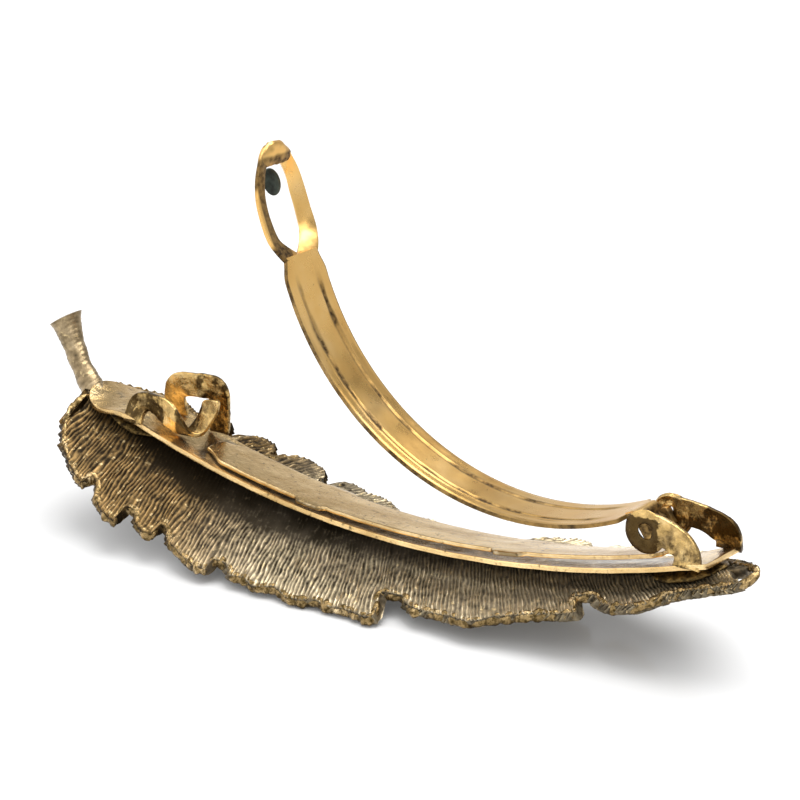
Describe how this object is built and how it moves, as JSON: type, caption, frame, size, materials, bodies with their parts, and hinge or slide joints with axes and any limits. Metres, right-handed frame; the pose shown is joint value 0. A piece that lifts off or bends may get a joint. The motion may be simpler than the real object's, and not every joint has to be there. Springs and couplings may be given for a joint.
{
  "type": "hair barrette",
  "caption": "Sprung hair barrette: a curved looped arm hinges on a bowed base plate and snaps over two catch ears, under a cast feather ornament.",
  "frame": {"origin": "middle of the underside of the base plate, on the clip's centre line", "axes": "+X from the catch to the hinge, +Y across the clip, +Z from the ornament towards the hair side"},
  "size_m": [0.1018, 0.0252, 0.0515],
  "materials": {
    "antique_casting": "antique-plated zinc casting, brass high spots over a grey-brown patina",
    "gilt_sheet": "folded steel sheet with worn antique gold plating",
    "gilt_spring": "polished spring steel with gold plating, dark in its grooves",
    "solder": "plated soft solder",
    "dark_patina": "dark grey-green patina"
  },
  "bodies": {
    "ornament_base": {"feather_near_vane": "antique_casting", "feather_far_vane": "antique_casting", "feather_shaft": "antique_casting", "feather_stem": "antique_casting", "base_plate": "gilt_sheet", "solder_catch_end": "solder", "solder_hinge_end": "solder", "hinge_ear_near": "gilt_sheet", "hinge_ear_far": "gilt_sheet"},
    "near_prong": {"catch_ear_near": "gilt_sheet"},
    "far_prong": {"catch_ear_far": "gilt_sheet"},
    "tension_spring": {"tension_bar": "gilt_spring"},
    "arm_root": {"arm_root_strip": "gilt_spring", "arm_hinge_lugs": "gilt_spring"},
    "arm_second": {"arm_second_strip": "gilt_spring"},
    "arm_third": {"arm_third_strip": "gilt_spring"},
    "arm_end": {"arm_end_strip": "gilt_spring", "arm_loop": "gilt_spring", "loop_tip_fold": "gilt_spring", "loop_tongue": "dark_patina"}
  },
  "joints": [
    {"name": "arm_hinge", "type": "hinge", "parent": "ornament_base", "child": "arm_root", "pos_m": [0.032, 0, 0.0086], "axis": [0, 1, 0], "range_deg": [0, 65]},
    {"name": "arm_flex_root", "type": "hinge", "parent": "arm_root", "child": "arm_second", "pos_m": [0.01646, 0, 0.00631], "axis": [0, 1, 0], "range_deg": [-10.5, 0.5], "stiffness_Nm_per_rad": 0.03},
    {"name": "arm_flex_middle", "type": "hinge", "parent": "arm_second", "child": "arm_third", "pos_m": [0.00235, 0, 0.00911], "axis": [0, 1, 0], "range_deg": [-22.5, 0.5], "stiffness_Nm_per_rad": 0.03},
    {"name": "arm_flex_end", "type": "hinge", "parent": "arm_third", "child": "arm_end", "pos_m": [-0.00913, 0, 0.01776], "axis": [0, 1, 0], "range_deg": [-29, 0], "stiffness_Nm_per_rad": 0.03},
    {"name": "near_prong_squeeze", "type": "hinge", "parent": "ornament_base", "child": "near_prong", "pos_m": [-0.0366, -0.0031, 0.0066], "axis": [-1, 0, 0], "range_deg": [0, 6], "stiffness_Nm_per_rad": 0.05},
    {"name": "far_prong_squeeze", "type": "hinge", "parent": "ornament_base", "child": "far_prong", "pos_m": [-0.0366, 0.0031, 0.0066], "axis": [1, 0, 0], "range_deg": [0, 6], "stiffness_Nm_per_rad": 0.05},
    {"name": "tension_bar_give", "type": "hinge", "parent": "ornament_base", "child": "tension_spring", "pos_m": [-0.029, 0, 0.00411], "axis": [0, 1, 0], "range_deg": [0, 0.6], "stiffness_Nm_per_rad": 0.3}
  ],
  "couplings": [
    {"joint": "arm_flex_middle", "follows": "arm_flex_end", "ratio": 0.759},
    {"joint": "arm_flex_root", "follows": "arm_flex_end", "ratio": 0.345}
  ]
}
